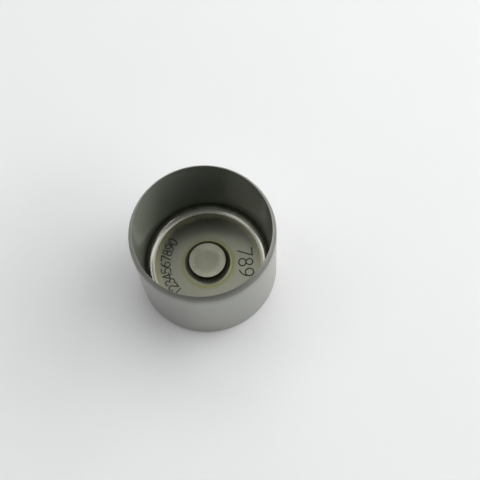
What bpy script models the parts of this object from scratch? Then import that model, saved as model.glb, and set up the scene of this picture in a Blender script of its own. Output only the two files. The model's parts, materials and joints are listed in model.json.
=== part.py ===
"""Shimless bucket tappet: one turned and ground steel cup, standing on its cam face, open side up.

Metres, +Z up. The origin is the centre of the cam face, on the cup's own axis.
"""

import math

import bpy
from mathutils import Vector

MM = 0.001

# Driving sizes.
OUTER_DIAMETER = 28.0 * MM
HEIGHT = 20.0 * MM
SKIRT_THICKNESS = 0.8 * MM  # at the open end, before its bevel
SKIRT_FOOT_THICKNESS = 1.3 * MM  # at the floor, from which the bore widens to the open end
FLOOR_THICKNESS = 2.6 * MM
PAD_THICKNESS = 4.26 * MM  # cam face to stem pad, the size that such a tappet is graded by
PAD_DIAMETER = 7.6 * MM

# Edges and blends.
CORNER_FILLET = 1.7 * MM  # floor into bore
PAD_FILLET = 1.1 * MM  # pad into floor
PAD_EDGE_ROUND = 0.12 * MM
RIM_INNER_ROUND = 0.06 * MM
RIM_LAND = 0.1 * MM  # flat that the bevel leaves at the top of the wall
BEVEL_HEIGHT = 1.0 * MM  # the open end's bevel, on the outside
BEVEL_ROUND = 0.12 * MM
CAM_EDGE_ROUND = 0.5 * MM
MOST_OF_WALL = 0.4  # largest share of a wall's thickness that one edge round takes

# Facets.
TURNS = 96  # steps round the axis
ARC_STEP = math.radians(15.0)  # largest turn of the outline from one facet to the next
WELD = 1.0e-6
ROUNDING = 1.0e-9

STEEL_COLOUR = (0.40, 0.40, 0.38, 1.0)
STEEL_ROUGHNESS = 0.32


def clear_scene():
    """Removes every object of the startup scene."""
    for old in list(bpy.data.objects):
        bpy.data.objects.remove(old, do_unlink=True)


def arc(centre, radius, start, end):
    """Points on an arc about centre, from angle start to angle end, in radians."""
    steps = max(1, math.ceil(abs(end - start) / ARC_STEP - ROUNDING))
    angles = (start + (end - start) * step / steps for step in range(steps + 1))
    return [Vector((centre[0] + radius * math.cos(a), centre[1] + radius * math.sin(a))) for a in angles]


def pad_outline(floor_z):
    """The stem pad: its flat face from the axis, its rounded edge, and the blend down to the floor."""
    top = PAD_THICKNESS
    radius = PAD_DIAMETER / 2
    edge = min(PAD_EDGE_ROUND, MOST_OF_WALL * (top - floor_z))
    blend = min(PAD_FILLET, top - floor_z - edge)
    face_edge = arc((radius - edge, top - edge), edge, math.pi / 2, 0.0)
    foot = arc((radius + blend, floor_z + blend), blend, math.pi, 1.5 * math.pi)
    return [Vector((0.0, top))] + face_edge + foot


def bore_draft(floor_z, bore_radius, foot_radius):
    """The angle by which the bore leans out from the axis, from the floor to the open end."""
    return math.atan2(bore_radius - foot_radius, HEIGHT - RIM_INNER_ROUND - floor_z)


def bore_outline(floor_z, foot_radius, draft):
    """The blend from the floor up into the bore, which the wall's height and the floor's width limit."""
    wall_height = HEIGHT - floor_z - RIM_INNER_ROUND
    floor_width = foot_radius - PAD_DIAMETER / 2 - PAD_FILLET
    reach = (1.0 - math.sin(draft)) / math.cos(draft)  # floor that a blend takes, as a share of its radius
    blend = min(CORNER_FILLET, wall_height, floor_width / reach)
    return arc((foot_radius - blend * reach, floor_z + blend), blend, -math.pi / 2, -draft)


def rim_outline(bore_radius, outer_radius, draft):
    """The open end, from the bore over the narrow land and down the bevel to the skirt."""
    wall = outer_radius - bore_radius
    inner = min(RIM_INNER_ROUND, MOST_OF_WALL * wall)
    land = min(RIM_LAND, MOST_OF_WALL * wall)
    bevel_start = bore_radius + inner + land
    slope = math.atan2(BEVEL_HEIGHT, outer_radius - bevel_start)
    blend = min(BEVEL_ROUND, land)
    top_turn = blend * math.tan(slope / 2)
    foot_turn = blend * math.tan((math.pi / 2 - slope) / 2)
    inside = arc((bore_radius + inner, HEIGHT - inner), inner, math.pi - draft, math.pi / 2)
    over = arc((bevel_start - top_turn, HEIGHT - blend), blend, math.pi / 2, math.pi / 2 - slope)
    foot_centre = (outer_radius - blend, HEIGHT - BEVEL_HEIGHT - foot_turn)
    return inside + over + arc(foot_centre, blend, math.pi / 2 - slope, 0.0)


def cam_face_outline(outer_radius):
    """The rounded edge at the foot of the skirt, and the flat cam face in to the axis."""
    edge = min(CAM_EDGE_ROUND, MOST_OF_WALL * FLOOR_THICKNESS)
    rounded = arc((outer_radius - edge, edge), edge, 0.0, -math.pi / 2)
    return rounded + [Vector((0.0, 0.0))]


def section_outline():
    """Half of the cup's section, from the pad's centre, over the rim and down to the cam face's centre."""
    outer_radius = OUTER_DIAMETER / 2
    bore_radius = outer_radius - SKIRT_THICKNESS
    foot_radius = outer_radius - SKIRT_FOOT_THICKNESS
    floor_z = FLOOR_THICKNESS
    draft = bore_draft(floor_z, bore_radius, foot_radius)
    return (
        pad_outline(floor_z)
        + bore_outline(floor_z, foot_radius, draft)
        + rim_outline(bore_radius, outer_radius, draft)
        + cam_face_outline(outer_radius)
    )


def steel():
    """Hardened steel, satin."""
    material = bpy.data.materials.new("hardened_steel")
    material.use_nodes = True
    shader = material.node_tree.nodes["Principled BSDF"]
    shader.inputs["Base Color"].default_value = STEEL_COLOUR
    shader.inputs["Metallic"].default_value = 1.0
    shader.inputs["Roughness"].default_value = STEEL_ROUGHNESS
    return material


def turned(name, outline, material, collection):
    """A solid of revolution about Z, from an outline in (radius, height) that runs down its outer side."""
    mesh = bpy.data.meshes.new(name)
    points = [(p.x, 0.0, p.y) for p in outline]
    edges = [(i, i + 1) for i in range(len(points) - 1)]
    mesh.from_pydata(points, edges, [])
    mesh.materials.append(material)
    part = bpy.data.objects.new(name, mesh)
    collection.objects.link(part)
    screw = part.modifiers.new("turn", "SCREW")
    screw.axis = "Z"
    screw.angle = 2 * math.pi
    screw.steps = TURNS
    screw.render_steps = TURNS
    screw.use_merge_vertices = True
    screw.merge_threshold = WELD
    screw.use_smooth_shade = True
    part.modifiers.new("true_flats", "WEIGHTED_NORMAL")
    return part


def main():
    clear_scene()
    collection = bpy.data.collections.new("bucket_tappet")
    bpy.context.scene.collection.children.link(collection)
    turned("tappet_bucket", section_outline(), steel(), collection)


main()
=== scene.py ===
"""A shimless bucket tappet on a white table, seen from above its open side."""

import json
import logging
import math
from collections.abc import Sequence
from dataclasses import dataclass
from enum import Enum
from typing import Any

import bpy
from mathutils import Matrix, Vector

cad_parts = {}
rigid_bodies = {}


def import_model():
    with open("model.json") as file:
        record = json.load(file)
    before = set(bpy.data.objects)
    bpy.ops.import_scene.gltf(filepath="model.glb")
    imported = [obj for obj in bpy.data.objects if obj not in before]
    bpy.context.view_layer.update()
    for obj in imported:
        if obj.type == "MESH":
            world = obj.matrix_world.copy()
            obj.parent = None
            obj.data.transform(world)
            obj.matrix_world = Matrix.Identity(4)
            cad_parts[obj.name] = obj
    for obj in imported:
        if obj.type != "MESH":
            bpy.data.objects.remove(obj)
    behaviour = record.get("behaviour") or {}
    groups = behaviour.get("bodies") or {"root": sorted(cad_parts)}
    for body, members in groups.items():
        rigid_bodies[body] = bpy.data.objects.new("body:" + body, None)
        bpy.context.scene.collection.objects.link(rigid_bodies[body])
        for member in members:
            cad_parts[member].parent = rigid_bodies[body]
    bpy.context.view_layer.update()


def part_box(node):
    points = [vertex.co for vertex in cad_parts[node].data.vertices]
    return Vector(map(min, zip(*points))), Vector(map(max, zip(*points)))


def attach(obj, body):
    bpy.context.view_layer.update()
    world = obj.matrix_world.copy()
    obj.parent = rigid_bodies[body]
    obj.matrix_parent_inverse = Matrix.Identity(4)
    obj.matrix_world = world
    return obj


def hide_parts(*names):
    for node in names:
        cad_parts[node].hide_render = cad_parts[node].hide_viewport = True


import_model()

LOG = logging.getLogger("bucket_tappet")
MM = 0.001
CAD_NODE = "tappet_bucket"
BODY = "root"
STROKE_JOIN = 1.0e-4

Point = tuple[float, float]
Colour = tuple[float, float, float]
Socket = bpy.types.NodeSocket


class Zone(Enum):
    """The stretches of the cup's surface, from the middle of the pad over the rim to the cam face."""

    PAD_FACE = 1
    PAD_FOOT = 2
    FLOOR = 3
    CORNER = 4
    BORE = 5
    RIM = 6
    SKIRT = 7
    CAM_EDGE = 8
    CAM_FACE = 9


class Graph:
    """A node tree under construction, with short calls that place and join its nodes."""

    def __init__(self, tree: bpy.types.NodeTree) -> None:
        """Takes over a tree.

        Args:
            tree: the geometry or shader tree to build in.
        """
        self.tree = tree

    def add(self, kind: str, inputs: dict[Any, Any] | None = None, **settings: Any) -> bpy.types.Node:
        """Places one node.

        Args:
            kind: the node's type name.
            inputs: a value or a socket for each input, by name or number.
            settings: the node's own options.

        Returns:
            The node.
        """
        node = self.tree.nodes.new(kind)
        for name, value in settings.items():
            setattr(node, name, value)
        for key, value in (inputs or {}).items():
            self.feed(node.inputs[key], value)
        return node

    def feed(self, socket: Socket, value: Any) -> None:
        """Links a socket to another, or sets its value.

        Args:
            socket: the input to feed.
            value: an output socket, or a plain value.
        """
        if isinstance(value, Socket):
            self.tree.links.new(value, socket)
        else:
            socket.default_value = value

    def math(self, operation: str, *values: Any, clamp: bool = False) -> Socket:
        """One sum or comparison of numbers.

        Args:
            operation: the Math node's operation.
            values: its operands, as sockets or numbers.
            clamp: whether the result is kept from 0 to 1.

        Returns:
            The result's socket.
        """
        kind = "ShaderNodeMath"
        return self.add(kind, dict(enumerate(values)), operation=operation, use_clamp=clamp).outputs[0]

    def ramp(self, value: Any, low: float, high: float, to_low: float = 0.0, to_high: float = 1.0) -> Socket:
        """A smooth step from one value to another.

        Args:
            value: what is read.
            low: where the step starts.
            high: where the step ends.
            to_low: the result up to low.
            to_high: the result from high on.

        Returns:
            The result's socket.
        """
        inputs = {"Value": value, "From Min": low, "From Max": high, "To Min": to_low, "To Max": to_high}
        return self.add("ShaderNodeMapRange", inputs, interpolation_type="SMOOTHSTEP").outputs["Result"]

    def swing(self, value: Socket, amount: float, middle: float) -> Socket:
        """Turns a pattern from 0 to 1 into a number that swings about its middle.

        Args:
            value: the pattern.
            amount: the whole width of the swing.
            middle: the number in its middle.

        Returns:
            The result's socket.
        """
        return self.math("MULTIPLY_ADD", value, amount, middle - amount / 2)

    def group(self, tree: bpy.types.NodeTree, inputs: dict[str, Any]) -> bpy.types.Node:
        """Places a node group.

        Args:
            tree: the group's tree.
            inputs: a value or a socket for each input, by name.

        Returns:
            The group's node.
        """
        node = self.tree.nodes.new("ShaderNodeGroup")
        node.node_tree = tree
        for name, value in inputs.items():
            self.feed(node.inputs[name], value)
        return node

    def rgb(self, colour: Colour) -> Socket:
        """A plain colour.

        Args:
            colour: its red, green and blue.

        Returns:
            The colour's socket.
        """
        node = self.add("ShaderNodeRGB")
        node.outputs[0].default_value = (*colour, 1.0)
        return node.outputs[0]

    def scale(self, colour: Socket, amount: Socket) -> Socket:
        """Makes a colour lighter or darker.

        Args:
            colour: the colour.
            amount: what it is multiplied by.

        Returns:
            The result's socket.
        """
        return self.add("ShaderNodeVectorMath", {0: colour, "Scale": amount}, operation="SCALE").outputs[0]

    def mix(self, share: Any, first: Any, second: Any) -> Socket:
        """Blends two colours.

        Args:
            share: how much of the second colour shows.
            first: the first colour.
            second: the second colour.

        Returns:
            The blend's socket.
        """
        node = self.add("ShaderNodeMix", {0: share, 6: first, 7: second}, data_type="RGBA")
        return node.outputs[2]


def socket_type(value: Any) -> str:
    """The interface type that fits a default value.

    Args:
        value: the default, or the name of a socket type.

    Returns:
        The type's name.
    """
    if isinstance(value, str):
        return value
    if isinstance(value, bool):
        return "NodeSocketBool"
    if isinstance(value, int):
        return "NodeSocketInt"
    if isinstance(value, float):
        return "NodeSocketFloat"
    return "NodeSocketColor" if len(value) == 4 else "NodeSocketVector"


def new_tree(name: str, kind: str, inputs: dict[str, Any], outputs: dict[str, str]) -> tuple[Graph, Any, Any]:
    """Starts a node group with named inputs and outputs.

    Args:
        name: the group's name.
        kind: GeometryNodeTree or ShaderNodeTree.
        inputs: each input's default value, or its socket type where it has none.
        outputs: each output's socket type.

    Returns:
        The graph, the group's input sockets and its output sockets.
    """
    tree = bpy.data.node_groups.new(name, kind)
    for label, value in inputs.items():
        made = tree.interface.new_socket(label, in_out="INPUT", socket_type=socket_type(value))
        if not isinstance(value, str):
            made.default_value = value
    for label, type_name in outputs.items():
        tree.interface.new_socket(label, in_out="OUTPUT", socket_type=type_name)
    graph = Graph(tree)
    return graph, graph.add("NodeGroupInput").outputs, graph.add("NodeGroupOutput").inputs


def apply_tree(obj: bpy.types.Object, tree: bpy.types.NodeTree, values: dict[str, Any]) -> bpy.types.Object:
    """Runs a geometry tree on an object and keeps the result as a plain mesh.

    Args:
        obj: the object that the tree starts from, which is used up.
        tree: the geometry tree.
        values: the tree's inputs, by name.

    Returns:
        A new object with the same name, whose mesh has no modifier.
    """
    modifier = obj.modifiers.new(tree.name, "NODES")
    modifier.node_group = tree
    for item in tree.interface.items_tree:
        if item.item_type == "SOCKET" and item.in_out == "INPUT" and item.name in values:
            modifier[item.identifier] = values[item.name]
    graph = bpy.context.evaluated_depsgraph_get()
    mesh = bpy.data.meshes.new_from_object(obj.evaluated_get(graph))
    name = obj.name
    bpy.data.objects.remove(obj, do_unlink=True)
    mesh.name = name
    return link_object(name, mesh)


def link_object(name: str, data: Any) -> bpy.types.Object:
    """Puts new object data in the scene.

    Args:
        name: the object's name.
        data: its mesh, light or camera.

    Returns:
        The object.
    """
    obj = bpy.data.objects.new(name, data)
    bpy.context.scene.collection.objects.link(obj)
    return obj


def drop_collection(collection: bpy.types.Collection) -> None:
    """Removes a helper collection and the objects in it.

    Args:
        collection: the collection.
    """
    for obj in list(collection.objects):
        bpy.data.objects.remove(obj, do_unlink=True)
    bpy.data.collections.remove(collection)


@dataclass(frozen=True)
class Strip:
    """One stretch of the section's outline, in radius and height, which belongs to one zone."""

    zone: Zone
    points: list[Point]


@dataclass(frozen=True)
class Section:
    """Half of the cup's section."""

    outer_radius: float
    height: float
    skirt: float = 0.8 * MM
    skirt_foot: float = 1.3 * MM
    floor: float = 2.6 * MM
    pad: float = 4.26 * MM
    pad_radius: float = 3.8 * MM
    corner_fillet: float = 1.9 * MM
    pad_fillet: float = 1.1 * MM
    pad_edge: float = 0.12 * MM
    rim_inner: float = 0.06 * MM
    rim_land: float = 0.1 * MM
    bevel_height: float = 1.0 * MM
    bevel_round: float = 0.1 * MM
    bevel_foot_round: float = 2.0 * MM
    cam_edge: float = 0.5 * MM
    arc_step: float = math.radians(6.0)
    hold: float = 0.03 * MM

    def arc(self, centre: Point, radius: float, start: float, end: float) -> list[Point]:
        """Points on an arc.

        Args:
            centre: its centre, as radius and height.
            radius: its radius.
            start: the first angle, in radians.
            end: the last angle, in radians.

        Returns:
            The points, both ends among them.
        """
        steps = max(2, math.ceil(abs(end - start) / self.arc_step))
        angles = [start + (end - start) * step / steps for step in range(steps + 1)]
        return [(centre[0] + radius * math.cos(a), centre[1] + radius * math.sin(a)) for a in angles]

    def flat(self, start: Point, end: Point) -> list[Point]:
        """A straight stretch, held close to both ends so that its shading stays flat.

        Args:
            start: its first point.
            end: its last point.

        Returns:
            Four points.
        """
        first, last = Vector(start), Vector(end)
        step = (last - first).normalized() * self.hold
        return [tuple(point) for point in (first, first + step, last - step, last)]

    def strips(self) -> list[Strip]:
        """The whole outline, from the middle of the pad over the rim to the middle of the cam face.

        Returns:
            The outline's strips, each of which starts where the one before it ends.
        """
        quarter = math.pi / 2
        bore = self.outer_radius - self.skirt
        bore_foot = self.outer_radius - self.skirt_foot
        draft = math.atan2(bore - bore_foot, self.height - self.rim_inner - self.floor)
        foot = self.pad_radius + self.pad_fillet
        corner = bore_foot - self.corner_fillet * (1 - math.sin(draft)) / math.cos(draft)
        pad_side = self.pad_radius
        lip = self.height
        edge_in = self.outer_radius - self.cam_edge
        pad_edge = self.arc((pad_side - self.pad_edge, self.pad - self.pad_edge), self.pad_edge, quarter, 0.0)
        pad_foot = self.arc((foot, self.floor + self.pad_fillet), self.pad_fillet, 2 * quarter, 3 * quarter)
        fillet_centre = (corner, self.floor + self.corner_fillet)
        fillet = self.arc(fillet_centre, self.corner_fillet, -quarter, -draft)
        rim_in_centre = (bore + self.rim_inner, lip - self.rim_inner)
        rim_in = self.arc(rim_in_centre, self.rim_inner, 2 * quarter - draft, quarter)
        bevel_in = bore + self.rim_inner + self.rim_land
        bevel = math.atan2(self.bevel_height, self.outer_radius - bevel_in)
        top_centre = (bevel_in - self.bevel_round * math.tan(bevel / 2), lip - self.bevel_round)
        bevel_top = self.arc(top_centre, self.bevel_round, quarter, quarter - bevel)
        bevel_low = lip - self.bevel_height - self.bevel_foot_round * math.tan((quarter - bevel) / 2)
        foot_centre = (self.outer_radius - self.bevel_foot_round, bevel_low)
        bevel_foot = self.arc(foot_centre, self.bevel_foot_round, quarter - bevel, 0.0)
        bevel_face = self.flat(bevel_top[-1], bevel_foot[0])[1:-1]
        cam_edge = self.arc((edge_in, self.cam_edge), self.cam_edge, 0.0, -quarter)
        return [
            Strip(Zone.PAD_FACE, self.flat((0.0, self.pad), pad_edge[0])),
            Strip(Zone.PAD_FOOT, pad_edge + pad_foot),
            Strip(Zone.FLOOR, self.flat(pad_foot[-1], fillet[0])),
            Strip(Zone.CORNER, fillet),
            Strip(Zone.BORE, self.flat(fillet[-1], rim_in[0])),
            Strip(Zone.RIM, rim_in + bevel_top + bevel_face + bevel_foot),
            Strip(Zone.SKIRT, self.flat(bevel_foot[-1], cam_edge[0])),
            Strip(Zone.CAM_EDGE, cam_edge),
            Strip(Zone.CAM_FACE, self.flat(cam_edge[-1], (0.0, 0.0))),
        ]


def outline_object(name: str, strips: Sequence[Strip]) -> bpy.types.Object:
    """The section's outline as a wire, one loose chain for each strip, with the zone's number on its points.

    Args:
        name: the object's name.
        strips: the outline's strips.

    Returns:
        The wire object.
    """
    points: list[tuple[float, float, float]] = []
    edges: list[tuple[int, int]] = []
    zones: list[int] = []
    for strip in strips:
        first = len(points)
        points += [(radius, 0.0, height) for radius, height in strip.points]
        edges += [(i, i + 1) for i in range(first, len(points) - 1)]
        zones += [strip.zone.value] * len(strip.points)
    mesh = bpy.data.meshes.new(name)
    mesh.from_pydata(points, edges, [])
    mesh.attributes.new("zone", "INT", "POINT").data.foreach_set("value", zones)
    return link_object(name, mesh)


def bow(centre: Point, radii: Point, start: float, end: float, steps: int = 12) -> list[Point]:
    """A stroke along part of an ellipse.

    Args:
        centre: the ellipse's centre.
        radii: its half width and half height.
        start: the first angle, in degrees.
        end: the last angle, in degrees.
        steps: how many pieces it is drawn in.

    Returns:
        The stroke's points.
    """
    angles = [math.radians(start + (end - start) * step / steps) for step in range(steps + 1)]
    return [(centre[0] + radii[0] * math.cos(a), centre[1] + radii[1] * math.sin(a)) for a in angles]


class Digit(Enum):
    """The strokes of each engraved figure, in a cell one unit high whose foot is at the origin."""

    ZERO = (bow((0.0, 0.5), (0.27, 0.5), 90, 450),)
    ONE = ([(-0.2, 0.76), (0.04, 1.0)], [(0.04, 1.0), (0.04, 0.0)])
    TWO = (bow((0.0, 0.7), (0.28, 0.3), 165, -38), [(0.22, 0.515), (-0.3, 0.0)], [(-0.3, 0.0), (0.3, 0.0)])
    THREE = (bow((-0.02, 0.75), (0.26, 0.25), 150, -90), bow((-0.02, 0.26), (0.3, 0.26), 90, -150))
    FOUR = ([(0.14, 1.0), (-0.3, 0.3)], [(-0.3, 0.3), (0.3, 0.3)], [(0.14, 1.0), (0.14, 0.0)])
    FIVE = ([(0.26, 1.0), (-0.2, 1.0), (-0.25, 0.55)], bow((-0.02, 0.32), (0.3, 0.32), 138, -145))
    SIX = (bow((0.34, 0.33), (0.62, 0.67), 104, 180), bow((0.0, 0.3), (0.28, 0.3), 180, 540))
    SEVEN = ([(-0.28, 1.0), (0.3, 1.0)], [(0.3, 1.0), (-0.1, 0.0)])
    EIGHT = (bow((0.0, 0.76), (0.23, 0.24), -90, 270), bow((0.0, 0.26), (0.28, 0.26), 90, 450))
    NINE = (bow((0.0, 0.7), (0.28, 0.3), 0, 360), bow((-0.34, 0.67), (0.62, 0.67), -76, 0))


def stroke_wire(digit: Digit) -> bpy.types.Object:
    """One figure's strokes as a wire.

    Args:
        digit: the figure.

    Returns:
        The wire, in no collection yet.
    """
    points: list[tuple[float, float, float]] = []
    edges: list[tuple[int, int]] = []
    for stroke in digit.value:
        first = len(points)
        closed = math.dist(stroke[0], stroke[-1]) < STROKE_JOIN
        drawn = stroke[:-1] if closed else stroke
        points += [(across, up, 0.0) for across, up in drawn]
        edges += [(i, i + 1) for i in range(first, len(points) - 1)]
        edges += [(len(points) - 1, first)] if closed else []
    mesh = bpy.data.meshes.new(digit.name)
    mesh.from_pydata(points, edges, [])
    return bpy.data.objects.new(digit.name, mesh)


def figure_tree(mark: bpy.types.Material) -> bpy.types.NodeTree:
    """The tree that sets figures along an arc or a line and sweeps a round cutter along their strokes.

    Args:
        mark: the material that the cutter leaves in its grooves.

    Returns:
        The geometry tree.
    """
    inputs = {
        "Places": "NodeSocketGeometry",
        "Strokes": "NodeSocketCollection",
        "Radius": 1.0,
        "First Angle": 0.0,
        "Angle Step": 0.0,
        "Line Start": 0.0,
        "Line Step": 0.0,
        "Level": 0.0,
        "Figure Height": 1.0,
        "Cutter Radius": 0.1,
        "Cutter Sides": 10,
    }
    outputs = {"Cutters": "NodeSocketGeometry"}
    graph, given, result = new_tree("engraved_figures", "GeometryNodeTree", inputs, outputs)
    index = graph.add("GeometryNodeInputIndex").outputs[0]
    angle = graph.math("MULTIPLY_ADD", index, given["Angle Step"], given["First Angle"])
    across = graph.math("MULTIPLY", graph.math("COSINE", angle), given["Radius"])
    along = graph.math("MULTIPLY", graph.math("SINE", angle), given["Radius"])
    line = graph.math("MULTIPLY_ADD", index, given["Line Step"], given["Line Start"])
    inputs = {"X": across, "Y": graph.math("ADD", along, line), "Z": given["Level"]}
    place = graph.add("ShaderNodeCombineXYZ", inputs).outputs[0]
    set_out = graph.add("GeometryNodeSetPosition", {"Geometry": given["Places"], "Position": place})
    turn = graph.add("ShaderNodeCombineXYZ", {"Z": graph.math("SUBTRACT", angle, math.pi / 2)}).outputs[0]
    figures = graph.add(
        "GeometryNodeCollectionInfo",
        {"Collection": given["Strokes"], "Separate Children": True, "Reset Children": True},
    )
    which = graph.add("GeometryNodeInputNamedAttribute", {"Name": "figure"}, data_type="INT").outputs[0]
    inputs = {
        "Points": set_out.outputs[0],
        "Instance": figures.outputs[0],
        "Pick Instance": True,
        "Instance Index": which,
        "Rotation": turn,
        "Scale": given["Figure Height"],
    }
    row = graph.add("GeometryNodeInstanceOnPoints", inputs)
    strokes = graph.add("GeometryNodeRealizeInstances", {"Geometry": row.outputs[0]})
    lines = graph.add("GeometryNodeMeshToCurve", {"Mesh": strokes.outputs[0]}).outputs[0]
    inputs = {"Resolution": given["Cutter Sides"], "Radius": given["Cutter Radius"]}
    circle = graph.add("GeometryNodeCurvePrimitiveCircle", inputs).outputs[0]
    inputs = {"Curve": lines, "Profile Curve": circle, "Fill Caps": True}
    tubes = graph.add("GeometryNodeCurveToMesh", inputs)
    inputs = {"Segments": given["Cutter Sides"], "Rings": 6, "Radius": given["Cutter Radius"]}
    ball = graph.add("GeometryNodeMeshUVSphere", inputs).outputs["Mesh"]
    ends = graph.add("GeometryNodeCurveEndpointSelection").outputs[0]
    inputs = {"Points": lines, "Selection": ends, "Instance": ball}
    round_ends = graph.add("GeometryNodeInstanceOnPoints", inputs)
    joined = graph.add("GeometryNodeJoinGeometry")
    for piece in (round_ends.outputs[0], tubes.outputs[0]):
        graph.feed(joined.inputs[0], piece)
    real = graph.add("GeometryNodeRealizeInstances", {"Geometry": joined.outputs[0]})
    dressed = graph.add("GeometryNodeSetMaterial", {"Geometry": real.outputs[0], "Material": mark})
    graph.feed(result["Cutters"], dressed.outputs[0])
    return graph.tree


@dataclass(frozen=True)
class FigureRow:
    """A row of plain figures, set out along an arc, or along a line where the angle step is nothing."""

    name: str
    digits: tuple[Digit, ...]
    radius: float
    first_angle: float
    angle_step: float
    height: float
    line_start: float = 0.0
    line_step: float = 0.0
    cutter: float = 0.14 * MM
    depth: float = 0.07 * MM

    def cutters(
        self, floor: float, tree: bpy.types.NodeTree, strokes: bpy.types.Collection
    ) -> bpy.types.Object:
        """The solid that cuts the row's grooves.

        Args:
            floor: the height of the face that is engraved.
            tree: the tree that sweeps the cutters.
            strokes: the wires of all figures.

        Returns:
            The cutters as one mesh object.
        """
        names = sorted(digit.name for digit in Digit)
        mesh = bpy.data.meshes.new(self.name)
        mesh.from_pydata([(0.0, 0.0, 0.0)] * len(self.digits), [], [])
        which = mesh.attributes.new("figure", "INT", "POINT")
        which.data.foreach_set("value", [names.index(digit.name) for digit in self.digits])
        values = {
            "Strokes": strokes,
            "Radius": self.radius,
            "First Angle": self.first_angle,
            "Angle Step": self.angle_step,
            "Line Start": self.line_start,
            "Line Step": self.line_step,
            "Level": floor + self.cutter - self.depth,
            "Figure Height": self.height,
            "Cutter Radius": self.cutter,
        }
        return apply_tree(link_object(self.name, mesh), tree, values)


def turned_tree(finishes: dict[Zone, bpy.types.Material], mark: bpy.types.Material) -> bpy.types.NodeTree:
    """The tree that turns an outline about Z, welds its strips, cuts the figures and dresses each zone.

    The outline is set back by the path's radius and swept along a circle wider than the cup, so that the
    points on the axis stay on it.

    Args:
        finishes: the material of each zone.
        mark: the material inside the figures' grooves.

    Returns:
        The geometry tree.
    """
    inputs = {
        "Outline": "NodeSocketGeometry",
        "Turns": 64,
        "Path Radius": 1.0,
        "Weld": 1.0e-6,
        "Cutters": "NodeSocketCollection",
        "Sharp From": math.radians(30.0),
    }
    graph, given, result = new_tree("turned_cup", "GeometryNodeTree", inputs, {"Cup": "NodeSocketGeometry"})
    inputs = {"Resolution": given["Turns"], "Radius": given["Path Radius"]}
    circle = graph.add("GeometryNodeCurvePrimitiveCircle", inputs).outputs["Curve"]
    path = graph.add("GeometryNodeSetCurveNormal", {"Curve": circle}, mode="Z_UP").outputs[0]
    place = graph.add("ShaderNodeSeparateXYZ", {0: graph.add("GeometryNodeInputPosition").outputs[0]}).outputs
    inputs = {"X": graph.math("SUBTRACT", place["X"], given["Path Radius"])}
    inputs["Y"] = graph.math("MULTIPLY", place["Z"], -1.0)
    drawn = graph.add("ShaderNodeCombineXYZ", inputs).outputs[0]
    wire = graph.add("GeometryNodeSetPosition", {"Geometry": given["Outline"], "Position": drawn}).outputs[0]
    profile = graph.add("GeometryNodeMeshToCurve", {"Mesh": wire}).outputs[0]
    skin = graph.add("GeometryNodeCurveToMesh", {"Curve": path, "Profile Curve": profile}).outputs[0]
    zone = graph.add("GeometryNodeInputNamedAttribute", {"Name": "zone"}, data_type="INT").outputs[0]
    inputs = {"Geometry": skin, "Name": "zone", "Value": zone}
    kept = graph.add("GeometryNodeStoreNamedAttribute", inputs, data_type="INT", domain="FACE").outputs[0]
    inputs = {"Geometry": kept, "Distance": given["Weld"]}
    welded = graph.add("GeometryNodeMergeByDistance", inputs).outputs[0]
    cutters = graph.add("GeometryNodeCollectionInfo", {"Collection": given["Cutters"]}).outputs[0]
    solid = graph.add("GeometryNodeRealizeInstances", {"Geometry": cutters}).outputs[0]
    inputs = {"Mesh 1": welded, "Mesh 2": solid, "Self Intersection": True}
    cut = graph.add("GeometryNodeMeshBoolean", inputs, operation="DIFFERENCE", solver="EXACT").outputs[0]
    smooth = graph.add("GeometryNodeSetShadeSmooth", {0: cut}).outputs[0]
    bend = graph.add("GeometryNodeInputMeshEdgeAngle").outputs["Unsigned Angle"]
    inputs = {0: smooth, "Selection": graph.math("GREATER_THAN", bend, given["Sharp From"])}
    inputs["Shade Smooth"] = False
    edged = graph.add("GeometryNodeSetShadeSmooth", inputs, domain="EDGE").outputs[0]
    real = graph.add("GeometryNodeRealizeInstances", {"Geometry": edged}).outputs[0]
    dressed = graph.add("GeometryNodeSetMaterial", {"Geometry": real, "Material": mark}).outputs[0]
    for part, material in finishes.items():
        inputs = {2: zone, 3: part.value}
        here = graph.add("FunctionNodeCompare", inputs, data_type="INT", operation="EQUAL").outputs[0]
        inputs = {"Geometry": dressed, "Selection": here, "Material": material}
        dressed = graph.add("GeometryNodeSetMaterial", inputs).outputs[0]
    graph.feed(result["Cup"], dressed)
    return graph.tree


class Across(Enum):
    """The way in which a tool's lines follow each other: out from the axis, or up along it."""

    RADIUS = "Radius"
    HEIGHT = "Height"


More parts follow.
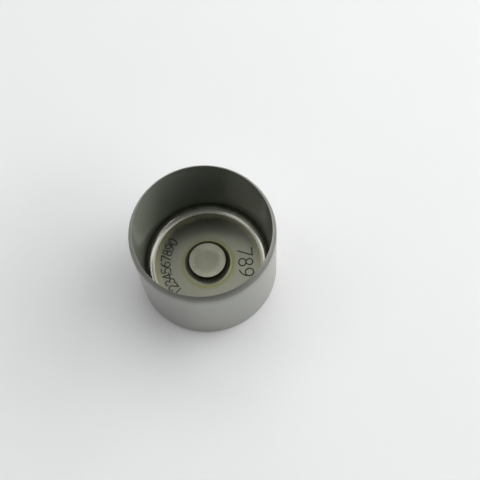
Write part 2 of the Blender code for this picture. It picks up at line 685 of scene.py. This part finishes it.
class SteelEffects:
    """The node groups that the finishes share, each built once."""

    BAND_PACE: float = 0.08
    PIT_PACE: float = 0.3
    PIT_CORE: float = 0.05
    PIT_EDGE: float = 0.25
    PATCH_EDGE: float = 0.75
    PATCH_FULL: float = 1.15
    SIDE_FADE: float = 0.8

    def __init__(self) -> None:
        """Builds the groups."""
        self.place = self.place_group()
        self.lines = self.lines_group()
        self.grain = self.grain_group()
        self.stain_and_light = self.stain_and_light_group()

    @staticmethod
    def in_mm(graph: Graph) -> Socket:
        """The point on the object, in millimetres.

        Args:
            graph: the group that needs it.

        Returns:
            The point's socket.
        """
        here = graph.add("ShaderNodeTexCoord").outputs["Object"]
        return graph.add("ShaderNodeVectorMath", {0: here, 1: (1 / MM,) * 3}, operation="MULTIPLY").outputs[0]

    def place_group(self) -> bpy.types.NodeTree:
        """Where a point lies round the cup's axis: its radius and height in millimetres, and its angle.

        Returns:
            The group's tree.
        """
        outputs = {name: "NodeSocketFloat" for name in ("Radius", "Height", "Angle")}
        graph, _, result = new_tree("place_on_cup", "ShaderNodeTree", {}, outputs)
        parts = graph.add("ShaderNodeSeparateXYZ", {0: self.in_mm(graph)}).outputs
        squares = graph.math("MULTIPLY_ADD", parts["X"], parts["X"], graph.math("POWER", parts["Y"], 2.0))
        graph.feed(result["Radius"], graph.math("SQRT", squares))
        graph.feed(result["Height"], parts["Z"])
        graph.feed(result["Angle"], graph.math("ARCTAN2", parts["Y"], parts["X"]))
        return graph.tree

    def lines_group(self) -> bpy.types.NodeTree:
        """Lines that a grinding wheel or a turning tool leaves round the axis.

        Fine is the single lines, and Bands is the slow change from one group of lines to the next.

        Returns:
            The group's tree.
        """
        inputs = {"Across": 0.0, "Angle": 0.0, "Spacing": 0.1, "Waver": 0.5, "Seed": 0.0}
        outputs = {name: "NodeSocketFloat" for name in ("Fine", "Bands")}
        graph, given, result = new_tree("tool_lines", "ShaderNodeTree", inputs, outputs)
        step = graph.math("DIVIDE", given["Across"], given["Spacing"])
        out = graph.math("MULTIPLY", graph.math("COSINE", given["Angle"]), given["Waver"])
        side = graph.math("MULTIPLY_ADD", graph.math("SINE", given["Angle"]), given["Waver"], given["Seed"])
        for name, slow, detail in (("Fine", 1.0, 3.0), ("Bands", self.BAND_PACE, 2.0)):
            spot = {"X": graph.math("MULTIPLY", step, slow), "Y": out, "Z": side}
            place = graph.add("ShaderNodeCombineXYZ", spot).outputs[0]
            noise = graph.add("ShaderNodeTexNoise", {"Vector": place, "Scale": 1.0, "Detail": detail})
            graph.feed(result[name], noise.outputs["Fac"])
        return graph.tree

    def grain_group(self) -> bpy.types.NodeTree:
        """The grain of a surface: Grain is its fine mottle, Cloud its slow change, and Pits its small pores.

        Returns:
            The group's tree.
        """
        inputs = {"Size": 0.1, "Cloud Size": 3.0, "Pit Share": 0.1, "Seed": 0.0}
        outputs = {name: "NodeSocketFloat" for name in ("Grain", "Cloud", "Pits")}
        graph, given, result = new_tree("fine_grain", "ShaderNodeTree", inputs, outputs)
        shift = graph.add("ShaderNodeVectorMath", {0: self.in_mm(graph), 1: given["Seed"]}).outputs[0]
        often = graph.math("DIVIDE", 1.0, given["Size"])
        seldom = graph.math("DIVIDE", 1.0, given["Cloud Size"])
        for name, scale in (("Grain", often), ("Cloud", seldom)):
            noise = graph.add("ShaderNodeTexNoise", {"Vector": shift, "Scale": scale, "Detail": 4.0})
            graph.feed(result[name], noise.outputs["Fac"])
        inputs = {"Vector": shift, "Scale": graph.math("MULTIPLY", often, self.PIT_PACE)}
        cells = graph.add("ShaderNodeTexVoronoi", inputs).outputs
        pick = graph.add("ShaderNodeSeparateColor", {0: cells["Color"]}).outputs[0]
        chosen = graph.math("LESS_THAN", pick, given["Pit Share"])
        middle = graph.ramp(cells["Distance"], self.PIT_CORE, self.PIT_EDGE, 1.0, 0.0)
        graph.feed(result["Pits"], graph.math("MULTIPLY", chosen, middle))
        return graph.tree

    def stain_and_light_group(self) -> bpy.types.NodeTree:
        """A tint along a ring, for a real stain or for painted light and shade: strongest at one place across
        it and on one side, and broken into patches.

        Returns:
            The group's tree.
        """
        inputs = {"Across": 0.0, "Angle": 0.0, "Centre": 1.0, "Width": 1.0, "Patch": 3.0, "Cover": 0.5}
        inputs |= {"Side": 0.0, "Least": 1.0, "Seed": 0.0}
        graph, given, result = new_tree("ring_stain", "ShaderNodeTree", inputs, {"Mask": "NodeSocketFloat"})
        shift = graph.add("ShaderNodeVectorMath", {0: self.in_mm(graph), 1: given["Seed"]}).outputs[0]
        often = graph.math("DIVIDE", 1.0, given["Patch"])
        inputs = {"Vector": shift, "Scale": often, "Detail": 4.0}
        patches = graph.add("ShaderNodeTexNoise", inputs).outputs["Fac"]
        wander = graph.math("MULTIPLY", graph.math("SUBTRACT", patches, 0.5), given["Width"])
        off = graph.math("SUBTRACT", graph.math("ADD", given["Across"], wander), given["Centre"])
        share = graph.math("DIVIDE", graph.math("ABSOLUTE", off), given["Width"])
        ring = graph.ramp(share, 0.0, 1.0, 1.0, 0.0)
        covered = graph.math("ADD", patches, given["Cover"])
        broken = graph.ramp(covered, self.PATCH_EDGE, self.PATCH_FULL)
        facing = graph.math("COSINE", graph.math("SUBTRACT", given["Angle"], given["Side"]))
        sided = graph.ramp(facing, -self.SIDE_FADE, self.SIDE_FADE, given["Least"], 1.0)
        graph.feed(result["Mask"], graph.math("MULTIPLY", graph.math("MULTIPLY", ring, broken), sided))
        return graph.tree


@dataclass(frozen=True)
class StainAndPaintedLight:
    """A ring of changed colour, most of all on one side: real discolouring by oil, heat or scale, or painted
    light and shade where a finish says so.
    """

    colour: Colour
    centre: float
    width: float
    strength: float
    side: float = 0.0
    least: float = 1.0
    patch: float = 3.0
    cover: float = 0.5
    seed: float = 0.0
    dulls: float = 0.0


@dataclass(frozen=True)
class SteelFinish:
    """One finish of the steel: its colour, gloss, film of oil, tool's lines, grain, and its stains and
    painted light and shade.
    """

    name: str
    colour: Colour
    roughness: float
    metallic: float = 1.0
    oil_film: float = 0.0
    oil_roughness: float = 0.08
    across: Across = Across.RADIUS
    spacing: float = 0.08
    waver: float = 0.5
    line_shade: float = 0.1
    band_shade: float = 0.08
    line_depth: float = 0.001
    line_gloss: float = 0.06
    grain_size: float = 0.12
    grain_shade: float = 0.06
    grain_depth: float = 0.001
    cloud_shade: float = 0.08
    pit_share: float = 0.05
    pit_shade: float = 0.3
    stains_and_painted_light: tuple[StainAndPaintedLight, ...] = ()
    seed: float = 0.0

    def material(self, effects: SteelEffects) -> bpy.types.Material:
        """The finish as a material.

        Args:
            effects: the shared node groups.

        Returns:
            The material.
        """
        made = bpy.data.materials.new(self.name)
        made.use_nodes = True
        graph = Graph(made.node_tree)
        shader = made.node_tree.nodes["Principled BSDF"]
        place = graph.group(effects.place, {}).outputs
        around = {"Across": place[self.across.value], "Angle": place["Angle"]}
        inputs = {"Spacing": self.spacing, "Waver": self.waver, "Seed": self.seed}
        lines = graph.group(effects.lines, around | inputs).outputs
        inputs = {"Size": self.grain_size, "Pit Share": self.pit_share, "Seed": self.seed}
        grain = graph.group(effects.grain, inputs).outputs
        colour = graph.rgb(self.colour)
        rough = graph.swing(lines["Fine"], self.line_gloss, self.roughness)
        for stain_and_light in self.stains_and_painted_light:
            inputs = {"Centre": stain_and_light.centre, "Width": stain_and_light.width, "Patch": stain_and_light.patch}
            inputs |= {"Cover": stain_and_light.cover, "Side": math.radians(stain_and_light.side), "Least": stain_and_light.least}
            spread = graph.group(effects.stain_and_light, around | inputs | {"Seed": stain_and_light.seed}).outputs["Mask"]
            mask = graph.math("MULTIPLY", spread, stain_and_light.strength)
            colour = graph.mix(mask, colour, (*stain_and_light.colour, 1.0))
            rough = graph.math("MULTIPLY_ADD", mask, stain_and_light.dulls, rough)
        shade = graph.swing(lines["Fine"], self.line_shade, 1.0)
        amounts = {"Grain": self.grain_shade, "Cloud": self.cloud_shade}
        swings = [(lines["Bands"], self.band_shade)] + [(grain[name], amounts[name]) for name in amounts]
        for value, amount in swings:
            shade = graph.math("MULTIPLY", shade, graph.swing(value, amount, 1.0))
        worn = graph.math("MULTIPLY_ADD", grain["Pits"], -self.pit_shade, 1.0)
        graph.feed(shader.inputs["Base Color"], graph.scale(colour, graph.math("MULTIPLY", shade, worn)))
        shader.inputs["Metallic"].default_value = self.metallic
        shader.inputs["Coat Weight"].default_value = self.oil_film
        shader.inputs["Coat Roughness"].default_value = self.oil_roughness
        graph.feed(shader.inputs["Roughness"], rough)
        relief = graph.math("MULTIPLY", lines["Fine"], self.line_depth)
        relief = graph.math("MULTIPLY_ADD", grain["Grain"], self.grain_depth, relief)
        relief = graph.math("MULTIPLY_ADD", grain["Pits"], -self.grain_depth, relief)
        bump = graph.add("ShaderNodeBump", {"Strength": 1.0, "Distance": MM, "Height": relief})
        graph.feed(shader.inputs["Normal"], bump.outputs[0])
        return made


OLIVE: Colour = (0.19, 0.19, 0.085)
# A pale olive: the tint of real olive staining, made lighter as painted light.
PALE_OLIVE_AND_PAINTED_LIGHT: Colour = (0.40, 0.39, 0.24)
SKIRT_GREY: Colour = (0.355, 0.36, 0.33)
RIM_GREY: Colour = (0.21, 0.21, 0.19)
# Painted shade for the fillet's foot, where it meets the bore wall.
CORNER_SHADE_GREY: Colour = (0.11, 0.12, 0.095)
# A pale colour for painted sheen on the pad's face.
PAINTED_PAD_SHEEN: Colour = (0.34, 0.34, 0.28)

GROUND_SKIRT = SteelFinish(
    "ground_skirt",
    SKIRT_GREY,
    0.26,
    across=Across.HEIGHT,
    spacing=0.09,
    waver=0.7,
    # Painted shade: the top of the skirt, just under the rim, is darkened towards the rim's grey.
    stains_and_painted_light=(StainAndPaintedLight(RIM_GREY, 18.4, 1.8, 0.5, cover=1.0),),
    seed=3.0,
)
TURNED_RIM = SteelFinish(
    "turned_rim",
    RIM_GREY,
    0.38,
    across=Across.HEIGHT,
    spacing=0.05,
    stains_and_painted_light=(StainAndPaintedLight(SKIRT_GREY, 18.3, 0.9, 0.5, cover=1.0, dulls=-0.12),),
    seed=5.0,
)
HARDENED_BORE = SteelFinish(
    "hardened_bore",
    (0.145, 0.162, 0.134),
    0.4,
    metallic=0.0,
    oil_film=0.37,
    across=Across.HEIGHT,
    spacing=0.14,
    line_shade=0.16,
    line_depth=0.0004,
    seed=7.0,
)
TURNED_FLOOR = SteelFinish(
    "turned_floor",
    (0.23, 0.235, 0.187),
    0.22,
    spacing=0.12,
    stains_and_painted_light=(
        StainAndPaintedLight(OLIVE, 5.0, 1.1, 1.0, side=-40.0, least=0.7, patch=1.6, cover=0.75, seed=1.0),
        # Real olive staining near the corner, painted much lighter than the floor as painted light on the
        # floor's back-right and left sides.
        StainAndPaintedLight(PALE_OLIVE_AND_PAINTED_LIGHT, 10.9, 1.2, 0.9, side=60.0, least=0.5, cover=0.9, seed=4.0, dulls=0.15),
        StainAndPaintedLight(PALE_OLIVE_AND_PAINTED_LIGHT, 10.8, 1.3, 0.8, side=165.0, least=0.0, patch=2.0, cover=0.8, seed=9.0, dulls=0.1),
    ),
    seed=11.0,
)
CORNER_BLEND = SteelFinish(
    "corner_blend",
    # The fillet is the floor's steel painted lighter, a painted highlight for the bright ring that it
    # reflects.
    (0.40, 0.40, 0.345),
    0.2,
    spacing=0.1,
    line_shade=0.05,
    line_depth=0.0003,
    # Painted shade: the outer part of the fillet, in the corner at the bore wall, is darkened and made
    # duller.
    stains_and_painted_light=(StainAndPaintedLight(CORNER_SHADE_GREY, 12.9, 1.2, 1.0, cover=1.0, dulls=0.3),),
    seed=13.0,
)
PAD_SIDE = SteelFinish(
    "pad_side",
    (0.27, 0.27, 0.22),
    0.3,
    spacing=0.1,
    # Painted highlight: the foot of the pad is painted pale on the side that faces the back right.
    stains_and_painted_light=(StainAndPaintedLight(PALE_OLIVE_AND_PAINTED_LIGHT, 4.7, 0.7, 0.7, side=60.0, least=0.0, cover=1.0),),
    seed=17.0,
)
LAPPED_PAD = SteelFinish(
    "lapped_pad",
    (0.212, 0.214, 0.162),
    0.2,
    spacing=0.06,
    cloud_shade=0.6,
    stains_and_painted_light=(
        # Painted sheen: pale patches on the pad's face, at the front left and the right, stand in for
        # reflected light.
        StainAndPaintedLight(PAINTED_PAD_SHEEN, 3.4, 1.4, 0.6, side=-110.0, least=0.0, cover=0.55, seed=2.0),
        StainAndPaintedLight(PAINTED_PAD_SHEEN, 3.0, 1.2, 0.6, side=35.0, least=-1.0, cover=0.55, seed=6.0),
    ),
    seed=19.0,
)
LAPPED_CAM_FACE = SteelFinish("lapped_cam_face", (0.40, 0.40, 0.38), 0.14, spacing=0.05, seed=23.0)
ETCHED_MARK = SteelFinish("etched_mark", (0.10, 0.10, 0.085), 0.5, spacing=0.1, seed=29.0)

ZONE_FINISHES = {
    Zone.PAD_FACE: LAPPED_PAD,
    Zone.PAD_FOOT: PAD_SIDE,
    Zone.FLOOR: TURNED_FLOOR,
    Zone.CORNER: CORNER_BLEND,
    Zone.BORE: HARDENED_BORE,
    Zone.RIM: TURNED_RIM,
    Zone.SKIRT: GROUND_SKIRT,
    Zone.CAM_EDGE: GROUND_SKIRT,
    Zone.CAM_FACE: LAPPED_CAM_FACE,
}


@dataclass
class TappetBucket:
    """The cup itself."""

    section: Section
    turns: int = 288
    weld: float = 0.5e-6
    rows: tuple[FigureRow, ...] = (
        FigureRow(
            name="count_arc",
            digits=tuple(Digit)[1:] + (Digit.ZERO,),
            radius=7.75 * MM,
            first_angle=math.radians(-139.0),
            angle_step=math.radians(-8.7),
            height=1.9 * MM,
        ),
        FigureRow(
            name="count_row",
            digits=(Digit.SEVEN, Digit.EIGHT, Digit.NINE),
            radius=6.3 * MM,
            first_angle=0.0,
            angle_step=0.0,
            height=2.9 * MM,
            line_start=1.75 * MM,
            line_step=-2.25 * MM,
            cutter=0.16 * MM,
            depth=0.08 * MM,
        ),
    )

    def engraving(self, mark: bpy.types.Material) -> bpy.types.Collection:
        """The cutters of all rows.

        Args:
            mark: the finish inside the grooves.

        Returns:
            A collection that holds them.
        """
        strokes = bpy.data.collections.new("figure_strokes")
        for digit in Digit:
            strokes.objects.link(stroke_wire(digit))
        tree = figure_tree(mark)
        cutters = bpy.data.collections.new("figure_cutters")
        for row in self.rows:
            made = row.cutters(self.section.floor, tree, strokes)
            bpy.context.scene.collection.objects.unlink(made)
            cutters.objects.link(made)
            LOG.info("%s: %d figures, %d faces", row.name, len(row.digits), len(made.data.polygons))
        drop_collection(strokes)
        return cutters

    def build(self, effects: SteelEffects) -> bpy.types.Object:
        """Makes the cup's mesh, dresses it and lets it stand for the CAD node.

        Args:
            effects: the shared node groups.

        Returns:
            The cup.
        """
        mark = ETCHED_MARK.material(effects)
        made = {finish.name: finish.material(effects) for finish in set(ZONE_FINISHES.values())}
        finishes = {zone: made[finish.name] for zone, finish in ZONE_FINISHES.items()}
        cutters = self.engraving(mark)
        wire = outline_object("tappet_cup", self.section.strips())
        values = {
            "Turns": self.turns,
            "Path Radius": 2 * self.section.outer_radius,
            "Weld": self.weld,
            "Cutters": cutters,
        }
        cup = apply_tree(wire, turned_tree(finishes, mark), values)
        drop_collection(cutters)
        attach(cup, BODY)
        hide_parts(CAD_NODE)
        LOG.info("%s: %d faces", cup.name, len(cup.data.polygons))
        return cup


@dataclass(frozen=True)
class PhotoCamera:
    """The camera, where the picture was taken from."""

    lens: float = 66.4
    sensor: float = 36.0
    elevation: float = math.radians(67.4)
    roll: float = math.radians(-4.92)
    aim: tuple[float, float] = (6.95 * MM, 5.52 * MM)
    distance: float = 185.9 * MM
    nearest: float = 0.005
    farthest: float = 20.0

    def build(self) -> bpy.types.Object:
        """Makes the camera and looks through it.

        Returns:
            The camera.
        """
        data = bpy.data.cameras.new("camera")
        data.sensor_width = self.sensor
        data.lens = self.lens
        data.clip_start = self.nearest
        data.clip_end = self.farthest
        camera = link_object("camera", data)
        back = Vector((0.0, -math.cos(self.elevation), math.sin(self.elevation)))
        turn = Matrix.Rotation(math.pi / 2 - self.elevation, 4, "X") @ Matrix.Rotation(self.roll, 4, "Z")
        camera.matrix_world = Matrix.Translation(Vector((*self.aim, 0.0)) + back * self.distance) @ turn
        bpy.context.scene.camera = camera
        return camera


@dataclass(frozen=True)
class SoftPanel:
    """A soft lamp with a flat face, which looks at the cup."""

    name: str
    azimuth: float
    elevation: float
    width: float
    height: float
    brightness: float
    distance: float = 1.0
    colour: Colour = (1.0, 1.0, 1.0)

    def build(self) -> bpy.types.Object:
        """Makes the lamp and turns it to the cup.

        Returns:
            The lamp, which is bright but can't be seen itself.
        """
        data = bpy.data.lights.new(self.name, "AREA")
        data.shape = "RECTANGLE"
        data.size, data.size_y = self.width, self.height
        data.energy = self.brightness * math.pi * self.width * self.height
        data.color = self.colour
        lamp = link_object(self.name, data)
        round_about, up = math.radians(self.azimuth), math.radians(self.elevation)
        flat = math.cos(up)
        towards = Vector((flat * math.cos(round_about), flat * math.sin(round_about), math.sin(up)))
        turn = towards.to_track_quat("Z", "Y").to_matrix().to_4x4()
        lamp.matrix_world = Matrix.Translation(towards * self.distance) @ turn
        lamp.visible_camera = False
        return lamp


@dataclass(frozen=True)
class Studio:
    """The table, the lamps and the dim room, whose lower wall is palest on the right."""

    table_size: float = 1.7
    table_colour: Colour = (0.895, 0.905, 0.905)
    right_wall_colour: Colour = (1.0, 1.0, 1.0)
    left_wall_colour: Colour = (0.5, 0.5, 0.5)
    front_colour: Colour = (0.12, 0.12, 0.12)
    room_colour: Colour = (0.27, 0.27, 0.27)
    wall_top: float = 14.0
    room_from: float = 24.0
    side_fade: float = 0.7
    front_full: float = -0.75
    front_from: float = -0.15
    table_mottle: float = 0.02
    table_cloud: float = 0.03
    table_roughness: float = 0.6
    table_gloss: float = 0.1
    panels: tuple[SoftPanel, ...] = (
        SoftPanel("window_right", azimuth=12, elevation=20, width=1.1, height=0.5, brightness=4.1),
        SoftPanel("window_back", azimuth=68, elevation=16, width=1.1, height=0.46, brightness=1.4),
        SoftPanel("panel_front_right", azimuth=-30, elevation=30, width=0.5, height=0.32, brightness=2.8),
        SoftPanel("panel_right", azimuth=30, elevation=38, width=0.8, height=0.35, brightness=1.3),
        SoftPanel("panel_right_high", azimuth=8, elevation=56, width=0.42, height=0.3, brightness=1.35),
        SoftPanel("panel_back", azimuth=90, elevation=47, width=0.6, height=0.35, brightness=1.7),
        SoftPanel("panel_top_right", azimuth=50, elevation=72, width=0.5, height=0.4, brightness=0.8),
        SoftPanel("panel_top_left", azimuth=140, elevation=70, width=0.6, height=0.45, brightness=0.42),
        SoftPanel("panel_left", azimuth=155, elevation=48, width=0.36, height=0.34, brightness=1.6),
        SoftPanel("panel_left_high", azimuth=200, elevation=64, width=0.4, height=0.28, brightness=0.85),
        SoftPanel("panel_left_low", azimuth=150, elevation=25, width=0.7, height=0.3, brightness=0.4),
    )

    def table(self, effects: SteelEffects) -> bpy.types.Object:
        """The plain pale table.

        Args:
            effects: the shared node groups.

        Returns:
            The table.
        """
        half = self.table_size / 2
        mesh = bpy.data.meshes.new("table")
        corners = [(-half, -half, 0.0), (half, -half, 0.0), (half, half, 0.0), (-half, half, 0.0)]
        mesh.from_pydata(corners, [], [(0, 1, 2, 3)])
        made = bpy.data.materials.new("table_white")
        made.use_nodes = True
        graph = Graph(made.node_tree)
        shader = made.node_tree.nodes["Principled BSDF"]
        inputs = {"Size": 0.6, "Cloud Size": 30.0, "Pit Share": 0.0, "Seed": 31.0}
        grain = graph.group(effects.grain, inputs).outputs
        mottle = graph.swing(grain["Grain"], self.table_mottle, 1.0)
        shade = graph.math("MULTIPLY", mottle, graph.swing(grain["Cloud"], self.table_cloud, 1.0))
        graph.feed(shader.inputs["Base Color"], graph.scale(graph.rgb(self.table_colour), shade))
        rough = graph.swing(grain["Grain"], self.table_gloss, self.table_roughness)
        graph.feed(shader.inputs["Roughness"], rough)
        mesh.materials.append(made)
        floor = link_object("table", mesh)
        return floor

    def light(self) -> list[bpy.types.Object]:
        """Makes the lamps, and the room's own light: pale low down on the right, and dim above and in front.

        Returns:
            The lamps.
        """
        world = bpy.data.worlds.new("studio")
        bpy.context.scene.world = world
        world.use_nodes = True
        graph = Graph(world.node_tree)
        rise = graph.add("ShaderNodeSeparateXYZ", {0: graph.add("ShaderNodeTexCoord").outputs["Generated"]})
        low, high = (math.sin(math.radians(angle)) for angle in (self.wall_top, self.room_from))
        colours = (self.right_wall_colour, self.left_wall_colour, self.front_colour, self.room_colour)
        right, left, front, room = ((*colour, 1.0) for colour in colours)
        walls = graph.mix(graph.ramp(rise.outputs["X"], -self.side_fade, self.side_fade), left, right)
        around = graph.mix(graph.ramp(rise.outputs["Z"], low, high), walls, room)
        depth = graph.ramp(rise.outputs["Y"], self.front_full, self.front_from)
        seen = graph.mix(depth, front, around)
        graph.feed(world.node_tree.nodes["Background"].inputs["Color"], seen)
        return [panel.build() for panel in self.panels]


def main() -> None:
    """Builds the scene."""
    logging.basicConfig(level=logging.INFO, format="%(name)s: %(message)s")
    low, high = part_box(CAD_NODE)
    section = Section(outer_radius=(high.x - low.x) / 2, height=high.z)
    effects = SteelEffects()
    TappetBucket(section).build(effects)
    PhotoCamera().build()
    studio = Studio()
    studio.table(effects)
    for lamp in studio.light():
        LOG.info("%s: %.1f W", lamp.name, lamp.data.energy)
    bpy.context.scene.view_settings.view_transform = "Standard"


if __name__ == "__main__":
    main()
